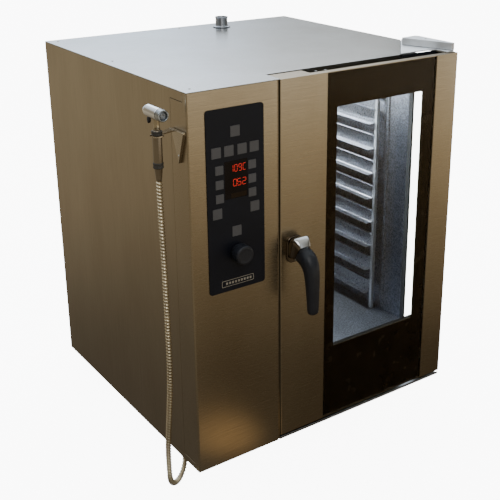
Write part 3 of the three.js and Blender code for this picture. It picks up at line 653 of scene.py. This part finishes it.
display_row("digits_upper", "109C", 803.0, 7.4, 11.9)
display_row("digits_middle", "0:52", 767.0, 9.4, 14.2)
unlit_row()

# ------------------------------------------------------------------ badge plate without any mark


BADGE_FACE_Y = -2.2
BADGE_LEFT, BADGE_RIGHT, BADGE_BOTTOM, BADGE_TOP = 80.3, 173.3, 502.5, 519.5
BADGE_RIM = 1.4
BADGE_BARS, BADGE_BAR_PITCH, BADGE_BAR_WIDTH, BADGE_BAR_INSET = 9, 8.6, 5.4, 5.5


def badge():
    """A plain rim with a row of small bars in it."""
    outer = rounded_outline(BADGE_LEFT, BADGE_RIGHT, BADGE_BOTTOM, BADGE_TOP, 3.0)
    inner = rounded_outline(BADGE_LEFT + BADGE_RIM, BADGE_RIGHT - BADGE_RIM,
                            BADGE_BOTTOM + BADGE_RIM, BADGE_TOP - BADGE_RIM, 1.8)
    bm = framed(outer, inner, "y", BADGE_FACE_Y - 0.35, BADGE_FACE_Y - 0.02)
    for i in range(BADGE_BARS):
        x = BADGE_LEFT + 12 + i * BADGE_BAR_PITCH
        bar = rectangle(x, x + BADGE_BAR_WIDTH, BADGE_BOTTOM + BADGE_BAR_INSET,
                        BADGE_TOP - BADGE_BAR_INSET)
        merge(bm, prism(bar, "y", BADGE_FACE_Y - 0.3, BADGE_FACE_Y - 0.02))
    add_object("badge_outline", bm, ZINC, "root", smooth=False)


badge()

# ------------------------------------------------------------------ knob

KNOB_X, KNOB_Z = 126.8, 590.0


def knob():
    profile = rounded_profile([
        (0, -39.4), (14, -39.4), (18.6, -40.0), (22.8, -39.2), (24.4, -36.0), (24.5, -15.0),
        (23.6, -12.2), (20.0, -10.2), (19.6, -3.0), (0, -3.0),
    ], 1.6)
    bm = turned(profile, "y", (KNOB_X, 0, KNOB_Z), 96)
    add_object("knob_body", bm, BLACK, "knob", ["control_knob"])


knob()

# ------------------------------------------------------------------ door handle

HANDLE_X, HANDLE_Z = 300.0, 552.0
NECK_SIDE_FACING = 0.55


def bar_stations(keys, steps):
    """Stations from keys (y, z from the spindle, lean of the section, half width, half across).

    The lean is the section's direction across the bar, in degrees from straight ahead."""
    rows = smooth_path([(y, z, lean) for y, z, lean, _, _ in keys], steps)
    halves = smooth_path([(a, b, 0) for _, _, _, a, b in keys], steps)
    stations = []
    for (y, z, lean), (half_x, half_across, _) in zip(rows, halves):
        angle = math.radians(lean)
        across = (0.0, -math.cos(angle), math.sin(angle))
        stations.append(((HANDLE_X, y, HANDLE_Z + z), across, half_x, half_across))
    return stations


def handle():
    """Rose and boss in chrome painted dark, bright neck with its sides in painted shade, black
    grip, and the spindle through the door.
    """
    rose_outline = rounded_outline(
        HANDLE_X - 24, HANDLE_X + 24, HANDLE_Z - 34, HANDLE_Z + 37, 15, 10)
    rose = prism(rose_outline, "y", -5, -0.3)
    add_object("handle_rose", rose, PAINTED_SHADE_CHROME, "handle", bevel=1.5)
    boss_keys = [(-5, 5, 90, 22.5, 28), (-13, 8.5, 87, 24.8, 30), (-22, 12, 79, 25.6, 30.2)]
    boss = swept(bar_stations(boss_keys, 10), 64, 3.4)
    add_object("handle_boss", boss, PAINTED_SHADE_CHROME, "handle")
    neck_keys = [
        (-22.3, 12.2, 79, 26.6, 30.9), (-24.5, 12.4, 77, 26.8, 30.9),
        (-31, 8, 69, 22.5, 28.5), (-36, 0, 60, 18.6, 25),
    ]
    neck = swept(bar_stations(neck_keys, 16), 64, 5.0)
    neck.normal_update()
    # Faces on the neck's sides take the second material, the chrome painted dark: painted shade on
    # the sides.
    for face in neck.faces:
        if abs(face.normal.x) > NECK_SIDE_FACING:
            face.material_index = 1
    body = add_object("handle_neck_body", neck, CHROME, "handle", ["handle_neck"])
    body.data.materials.append(PAINTED_SHADE_CHROME)
    grip_keys = [
        (-36.6, -0.6, 60, 18.8, 25.4), (-46, -4, 50, 21, 26), (-58, -10, 37, 22, 24.5),
        (-68.5, -22, 22, 21.2, 21.4), (-75, -40, 10, 19.6, 18.6), (-78.5, -68, 3, 18, 16.6),
        (-80.5, -104, 1, 16.2, 14.8), (-81.5, -138, 0, 14.6, 13.2), (-81.3, -148.5, 0, 12.6, 11.2),
        (-80.8, -152.2, 0, 7.0, 6.2),
    ]
    grip = swept(bar_stations(grip_keys, 48), 40, 2.4)
    add_object("handle_grip_body", grip, BLACK, "handle", ["handle_grip"])
    spindle = turned([(0, -2), (6, -2), (6, 58.6), (0, 58.6)], "y", (HANDLE_X, 0, HANDLE_Z), 24)
    add_object("handle_spindle", spindle, ZINC, "handle")


handle()

# ------------------------------------------------------------------ spray handset

HANDSET_X, HANDSET_Y, HEAD_Z = -60.0, 31.0, 957.0


def handset():
    """Spray head with its nozzle ring and rose, neck, and the sleeve with two dark collars."""
    centre = (HANDSET_X, HANDSET_Y, HEAD_Z)
    head = turned(rounded_profile([
        (0, -18.0), (14.2, -18.0), (14.5, -16.8), (14.4, 34.0), (12.6, 41.0), (8.0, 44.4),
        (0, 45.0),
    ], 2.0), "y", centre, 56)
    neck = turned(rounded_profile([
        (0, -38), (8.4, -38), (7.0, -32), (6.8, -26), (7.4, -14), (9.0, -8), (0, -8),
    ], 2.0), "z", centre, 40)
    add_object("spray_neck", neck, BRONZE, "handset")
    add_object("spray_head_body", head, CHROME, "handset", ["spray_head"])
    ring = turned(rounded_profile([
        (0, -28.0), (9.4, -28.0), (10.2, -34.6), (11.2, -35.0), (13.4, -34.6), (13.9, -33.0),
        (13.9, -19.4), (0, -19.4),
    ], 1.0), "y", centre, 56)
    add_object("spray_nozzle_ring", ring, RING_METAL, "handset")
    face = turned(rounded_profile([
        (0, -30.6), (3.0, -30.6), (3.4, -32.2), (6.4, -32.2), (6.8, -30.6), (9.2, -30.2),
        (9.2, -28.1), (0, -28.1),
    ], 0.5), "y", centre, 40)
    add_object("spray_rose", face, ROSE_METAL, "handset")
    axis = (HANDSET_X, HANDSET_Y, 0)
    sleeve = turned(rounded_profile([
        (0, 799), (6.4, 799), (7.0, 803), (9.6, 828.5), (11.0, 828.5), (11.0, 906.5), (0, 906.5),
    ], 1.0), "z", axis, 48)
    merge(sleeve, turned(rounded_profile([
        (0, 916), (10.4, 916), (9.0, 918.7), (0, 918.7),
    ], 0.8), "z", axis, 48))
    add_object("handset_sleeve", sleeve, HANDSET_METAL, "handset",
               ["handset_body"])
    for name, low, high, radius in (("lower", 829.0, 842.5, 12.4), ("upper", 906.8, 916.4, 12.8)):
        middle = (low + high) / 2
        collar = turned(rounded_profile([
            (0, low), (radius - 0.6, low), (radius, low + 1.5), (radius - 0.7, middle),
            (radius, high - 1.5), (radius - 0.6, high), (0, high),
        ], 0.8), "z", axis, 48)
        add_object(f"handset_{name}_collar", collar, COLLAR, "handset")


handset()


def holder_flange():
    """A bright chrome strip on the top flange of the handset's wall plate: painted highlight where
    the flange's top catches the light.
    """
    flange = prism([(-9, 9), (-2.6, 8), (-2.6, 68), (-9, 66)], "z", 906.8, 907.6)
    add_object("holder_flange", flange, CHROME, "root", smooth=False)


holder_flange()

# ------------------------------------------------------------------ spray hose

HOSE_R = 6.4
HOSE_PITCH = 8.4
RIB_HEIGHT = 1.3
RIB_TROUGH = -0.7
HOSE_RINGS, HOSE_SIDES = 1100, 16
HOSE_SIDEWAYS = Vector((0.55, 0.83, 0.0))
HOSE_LOOP = {"radius": 45.0, "x": -60.0, "y": 49.0, "z": -10.0}
HOSE_LOOP_TURN = math.atan2(0.563, 0.827)
HOSE_HANG = [
    (-60, 31, 798.5), (-60, 31, 770), (-60, 30, 720), (-60, 27, 640), (-60, 24.5, 560),
    (-60, 23, 480), (-60, 22, 400), (-60, 22, 330), (-60, 26, 262), (-60, 34, 198),
    (-60, 42, 142), (-60, 48, 96), (-60, 51, 54), (-60, 50.5, 20),
]


def hose_points():
    """Down from the handset, then half a turn under the casing and up to the inlet."""
    points = [Vector(p) for p in HOSE_HANG]
    loop = HOSE_LOOP
    for i in range(9):
        angle = math.radians(22.5 * i)
        out = loop["radius"] * (1 - math.cos(angle))
        points.append(Vector((
            loop["x"] + out * math.cos(HOSE_LOOP_TURN), loop["y"] + out * math.sin(HOSE_LOOP_TURN),
            loop["z"] - loop["radius"] * math.sin(angle),
        )))
    return points


def hose():
    """A spiral-wound tube: the sheath's ridge winds round it once every pitch."""
    path = smooth_path(hose_points(), HOSE_RINGS)
    bm = bmesh.new()
    rings = []
    travelled = 0.0
    for i, centre in enumerate(path):
        ahead = path[min(i + 1, len(path) - 1)]
        behind = path[max(i - 1, 0)]
        travelled += (centre - behind).length
        along = (ahead - behind).normalized()
        first = along.cross(HOSE_SIDEWAYS).normalized()
        second = along.cross(first)
        ring = []
        for k in range(HOSE_SIDES):
            angle = 2 * math.pi * k / HOSE_SIDES
            wave = math.cos(2 * math.pi * travelled / HOSE_PITCH + angle)
            radius = HOSE_R + RIB_HEIGHT * max(wave, RIB_TROUGH)
            ring.append(bm.verts.new(
                centre + (first * math.cos(angle) + second * math.sin(angle)) * radius))
        rings.append(ring)
    for one, two in zip(rings, rings[1:]):
        join_rings(bm, one, two)
    bm.faces.new(rings[0])
    bm.faces.new(rings[-1])
    tube = add_object("spray_hose_tube", bm, HOSE_METAL, None, ["spray_hose"])
    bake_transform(tube)


hose()

# ------------------------------------------------------------------ tray racks

RAIL_COUNT, RAIL_FIRST, RAIL_PITCH = 9, 232.0, 77.1
RAIL_FRONT, RAIL_REAR = 203.0, 739.0
LIP_LOW, LIP_HIGH, RACK_BACK = 20.0, 10.0, 10.0
POST_LEAD, POST_TAIL, POST_DEPTH = 11.8, 60.0, 11.6
POST_BOTTOM, POST_TOP = 181, 894
CAVITY_WALL = 762.0
BEAD_Y, BEAD_HALF_WIDTH, BEAD_HEIGHT = 174.0, 9.0, 3.6


def rack(side, web, inward):
    """Nine pressed channels between a front and a rear post; the lower lip carries the tray."""
    post_back, post_face = web - inward * RACK_BACK, web + inward * 0.5
    posts = bmesh.new()
    for front in (RAIL_FRONT - POST_LEAD, RAIL_REAR - POST_TAIL):
        outline = rectangle(post_back, post_face, front, front + POST_DEPTH)
        merge(posts, prism(outline, "z", POST_BOTTOM, POST_TOP))
    add_object(f"{side}_rack_posts", posts, POST_STEEL, "root", smooth=False,
               bevel=1.2)
    profile = [
        (-1.8, 0.3), (LIP_LOW - 0.8, 0.3), (LIP_LOW, 1.0), (LIP_LOW - 0.8, 1.9), (3.0, 1.9),
        (1.0, 3.6), (0.3, 6.4), (0.3, 39.5), (1.4, 42.4), (4.0, 43.6), (LIP_HIGH - 0.8, 43.9),
        (LIP_HIGH, 44.8), (LIP_HIGH - 0.8, 45.7), (2.0, 45.7), (-0.6, 44.4), (-1.8, 42.0),
    ]
    channels = bmesh.new()
    for i in range(RAIL_COUNT):
        z = RAIL_FIRST + i * RAIL_PITCH
        points = [(web + inward * a, z + b) for a, b in profile]
        merge(channels, prism(points, "y", RAIL_FRONT, RAIL_REAR))
    add_object(f"{side}_rack_channels", channels, RACK_STEEL, "root",
               [f"{side}_tray_rack"], smooth=False)


rack("right", 736.0, -1)
rack("left", 400.0, 1)


def wall_bead():
    """The pressed bead that stiffens the cavity's right wall in front of the rack."""
    points = []
    for i in range(9):
        angle = math.pi * i / 8
        points.append((CAVITY_WALL - 0.1 - BEAD_HEIGHT * math.sin(angle),
                       BEAD_Y - BEAD_HALF_WIDTH * math.cos(angle)))
    add_object("cavity_wall_bead", prism(points, "z", 190, 872), CAVITY_STEEL, "root")


wall_bead()

# ------------------------------------------------------------------ flue, feet


def vent():
    """The steam outlet: a tube with a collar on the cover and a rolled lip."""
    tube = turned(rounded_profile([
        (17.0, 907.6), (19.0, 907.6), (19.0, 1001.0), (27.6, 1001.0), (27.6, 1003.6),
        (20.4, 1003.8), (19.2, 1006.0), (19.0, 1028.6), (20.4, 1029.2), (20.4, 1033.0),
        (17.6, 1033.0), (17.0, 1029.0), (17.0, 907.6),
    ], 0.9), "z", (555.0, 740.0, 0.0), 64)
    add_object("vent_tube", tube, LINER, "root", ["vent_pipe"])


vent()

FOOT_PLACES = {
    "front_left_foot": (132, 142), "front_right_foot": (725, 142),
    "rear_left_foot": (132, 700), "rear_right_foot": (725, 700),
}


def feet():
    profile = rounded_profile([
        (0, -64), (23.4, -64), (24, -62.5), (24, -53), (18.2, -44), (18, -30), (18, -11),
        (28, -8), (28, -0.3), (0, -0.3),
    ], 1.5)
    for name, (x, y) in FOOT_PLACES.items():
        add_object(f"{name}_turned", turned(profile, "z", (x, y, 0), 48), ZINC, "root",
                   [name])


feet()

# ------------------------------------------------------------------ small fixings


SCREW_RADIUS, SCREW_HEIGHT, SCREW_ARC_STEPS = 3.2, 1.6, 5
SEAT_GAP = 0.05


def screw(name, place, axis):
    """A low domed screw head; axis is 'x', 'y' or 'z', with a minus sign to face the other way."""
    sign = -1 if axis.startswith("-") else 1
    profile = [(0, sign * SEAT_GAP), (SCREW_RADIUS, sign * SEAT_GAP)]
    for i in range(SCREW_ARC_STEPS):
        angle = math.pi / 2 * i / SCREW_ARC_STEPS
        profile.append((SCREW_RADIUS * math.cos(angle), sign * SCREW_HEIGHT * math.sin(angle)))
    profile.append((0, sign * SCREW_HEIGHT))
    add_object(name, turned(profile, axis[-1], place, 20), ZINC, "root")


SCREWS = {
    "cover_screw_front": ((28, 32, 1000), "z"), "cover_screw_left": ((28, 430, 1000), "z"),
    "cover_screw_rear": ((28, 790, 1000), "z"), "cover_screw_rear_right": ((828, 790, 1000), "z"),
    "cover_screw_rear_middle": ((430, 790, 1000), "z"),
    "hinge_screw": ((838, 112, 1022), "z"), "holder_screw": ((-2.3, 38, 845), "-x"),
}
for i, z in enumerate((40, 340, 660, 960)):
    SCREWS[f"rear_screw_left_{i + 1}"] = ((16, 820, z), "y")
    SCREWS[f"rear_screw_right_{i + 1}"] = ((841, 820, z), "y")
for screw_name, (screw_place, screw_axis) in SCREWS.items():
    screw(screw_name, screw_place, screw_axis)

# ------------------------------------------------------------------ floor, world and lights

# Floor stops are (metres from the row's origin, colour); world stops are (direction, colour).
FLOOR_HALF_SIZE = 12.0
FLOOR_GLOW = 9.0
FLOOR_NEAR, FLOOR_FAR = 0.4, 5.0
# Floor stops seen only in reflections: the dark near the oven is painted shadow.
FLOOR_TO_LEFT = [
    (0.5, (0.125, 0.11, 0.090)), (1.0, (0.17, 0.148, 0.115)), (2.1, (0.37, 0.315, 0.23)),
    (4.1, (0.47, 0.41, 0.30)),
]
FLOOR_TO_FRONT = [
    (0.5, (0.09, 0.072, 0.048)), (0.9, (0.088, 0.068, 0.045)), (1.15, (0.17, 0.135, 0.09)),
    (2.2, (0.38, 0.31, 0.205)), (3.2, (0.58, 0.47, 0.31)), (4.3, (0.90, 0.74, 0.49)),
    (4.8, (1.35, 1.27, 1.12)),
]
# WARM_PATCH: a painted pool of warm light on the floor, seen only in reflections.
WARM_PATCH = (0.62, 0.43, 0.23)
WARM_PATCH_PLACE = (-0.20, -0.57, 0.0)
WARM_PATCH_INNER, WARM_PATCH_RADIUS = 0.05, 0.13
WORLD_STRENGTH = 1.3
WORLD_WHITE = 12.0
WORLD_ABOVE = (1.25, 1.38, 1.50)
WORLD_ABOVE_FROM, WORLD_ABOVE_TO = 0.25, 0.7
WORLD_ACROSS = [
    (-1.0, (0.20, 0.17, 0.13)), (-0.25, (0.30, 0.26, 0.19)), (0.30, (1.22, 1.42, 1.68)),
    (0.46, (1.12, 1.32, 1.58)), (0.57, (0.38, 0.39, 0.38)), (0.66, (0.25, 0.25, 0.225)),
    (1.0, (0.30, 0.27, 0.22)),
]
WORLD_BEHIND = [(-1.0, (0.30, 0.27, 0.23)), (-0.3, (0.34, 0.31, 0.26)), (0.1, (1.0, 1.0, 1.0))]


def colour_ramp(n, value, stops, low, high):
    """A colour ramp over low..high; stops are (value, colour)."""
    ramp = n.add("ShaderNodeValToRGB")
    elements = ramp.color_ramp.elements
    while len(elements) < len(stops):
        elements.new(0.5)
    for element, (place, colour) in zip(elements, stops):
        element.position = (place - low) / (high - low)
        element.color = (*colour, 1.0)
    n.link(n.ramp(value, 0.0, 1.0, low, high), ramp.inputs["Fac"])
    return ramp.outputs["Color"]


def unbounced(n):
    """One for sight lines that come straight, or only through glass; zero for reflected light."""
    path = n.add("ShaderNodeLightPath")
    bounces = n.add("ShaderNodeMath")
    n.link(path.outputs["Diffuse Depth"], bounces.inputs[0])
    n.link(path.outputs["Glossy Depth"], bounces.inputs[1])
    straight = n.add("ShaderNodeMath", operation="LESS_THAN")
    straight.inputs[1].default_value = 0.5
    n.link(bounces.outputs[0], straight.inputs[0])
    seen = n.add("ShaderNodeMath", operation="MULTIPLY_ADD")
    n.link(straight.outputs[0], seen.inputs[0])
    n.link(path.outputs["Is Transmission Ray"], seen.inputs[1])
    n.link(path.outputs["Is Camera Ray"], seen.inputs[2])
    return seen.outputs[0]


def emission(n, strength):
    node = n.add("ShaderNodeEmission")
    node.inputs["Color"].default_value = (1.0, 1.0, 1.0, 1.0)
    node.inputs["Strength"].default_value = strength
    return node


def make_floor():
    """A pale floor to the camera, and another to reflections.

    Reflections see it dark near the oven, a painted shadow, paler and warmer further off to the
    left and the front, with one warm patch in front of the column, a painted pool of warm light."""
    level = at(0, 0, -64).z
    half = FLOOR_HALF_SIZE
    mesh = bpy.data.meshes.new("floor")
    corners = [(x, y, level) for x, y in rectangle(-half, half, -half, half)]
    mesh.from_pydata(corners, [], [(0, 1, 2, 3)])
    floor = bpy.data.objects.new("floor", mesh)
    bpy.context.scene.collection.objects.link(floor)
    n = material_nodes("floor")
    n.set(Base_Color=(0.80, 0.80, 0.80, 1.0), Roughness=0.9)
    lit = n.add("ShaderNodeAddShader")
    n.link(emission(n, FLOOR_GLOW).outputs[0], lit.inputs[0])
    n.link(n.shader.outputs[0], lit.inputs[1])
    place = n.add("ShaderNodeTexCoord").outputs["Object"]
    reach = n.add("ShaderNodeVectorMath", operation="LENGTH")
    n.link(place, reach.inputs[0])
    split = n.add("ShaderNodeSeparateXYZ")
    n.link(place, split.inputs[0])
    left = colour_ramp(n, reach.outputs["Value"], FLOOR_TO_LEFT, FLOOR_NEAR, FLOOR_FAR)
    front = colour_ramp(n, reach.outputs["Value"], FLOOR_TO_FRONT, FLOOR_NEAR, FLOOR_FAR)
    side = n.ramp(split.outputs["X"], 0.0, 1.0, -0.35, 0.0)
    gap = n.add("ShaderNodeVectorMath", operation="DISTANCE")
    gap.inputs[1].default_value = WARM_PATCH_PLACE
    n.link(place, gap.inputs[0])
    patch = n.ramp(gap.outputs["Value"], 1.0, 0.0, WARM_PATCH_INNER, WARM_PATCH_RADIUS)
    reflected = emission(n, 1.0)
    n.link(n.mix(patch, n.mix(side, left, front), WARM_PATCH), reflected.inputs["Color"])
    choose = n.add("ShaderNodeMixShader")
    n.link(unbounced(n), choose.inputs["Fac"])
    n.link(reflected.outputs[0], choose.inputs[1])
    n.link(lit.outputs[0], choose.inputs[2])
    n.link(choose.outputs[0], n.tree.nodes["Material Output"].inputs["Surface"])
    mesh.materials.append(n.owner)


def make_world():
    """A white room to the camera, and another to reflections.

    Reflections see it dim and warm to the left and the front, bright and cool behind a little to
    the right and overhead, and dim again on the far right."""
    world = bpy.data.worlds.new("studio")
    bpy.context.scene.world = world
    n = Nodes(world)
    split = n.add("ShaderNodeSeparateXYZ")
    n.link(n.add("ShaderNodeTexCoord").outputs["Generated"], split.inputs[0])
    across = colour_ramp(n, split.outputs["X"], WORLD_ACROSS, -1.0, 1.0)
    behind = colour_ramp(n, split.outputs["Y"], WORLD_BEHIND, -1.0, 1.0)
    height = n.ramp(split.outputs["Z"], 0.0, 1.0, WORLD_ABOVE_FROM, WORLD_ABOVE_TO)
    shaded = n.mix(1.0, n.mix(height, across, WORLD_ABOVE), behind, "MULTIPLY")
    background = n.tree.nodes["Background"]
    n.link(shaded, background.inputs["Color"])
    background.inputs["Strength"].default_value = WORLD_STRENGTH
    white = n.add("ShaderNodeBackground")
    white.inputs["Color"].default_value = (1.0, 1.0, 1.0, 1.0)
    white.inputs["Strength"].default_value = WORLD_WHITE
    choose = n.add("ShaderNodeMixShader")
    n.link(unbounced(n), choose.inputs["Fac"])
    n.link(background.outputs[0], choose.inputs[1])
    n.link(white.outputs[0], choose.inputs[2])
    n.link(choose.outputs[0], n.tree.nodes["World Output"].inputs["Surface"])


def area_light(name, place, target, size, energy, colour=(1.0, 1.0, 1.0)):
    """A soft rectangular light; size is in metres."""
    data = bpy.data.lights.new(name, "AREA")
    data.shape = "RECTANGLE"
    data.size, data.size_y = size
    data.energy = energy
    data.color = colour
    light = bpy.data.objects.new(name, data)
    bpy.context.scene.collection.objects.link(light)
    light.location = at(*place)
    direction = at(*target) - at(*place)
    light.rotation_mode = "QUATERNION"
    light.rotation_quaternion = direction.to_track_quat("-Z", "Y")


make_floor()
make_world()
area_light("key", (-600, -2200, 2600), (400, 300, 500), (2.0, 2.0), 25)
area_light("rear_fill", (1500, 2500, 2600), (400, 400, 500), (2.5, 2.0), 25, (0.95, 0.97, 1.0))
area_light("cavity", (610, 470, 890), (742, 455, 640), (0.52, 0.05), 9, (0.90, 0.95, 1.0))
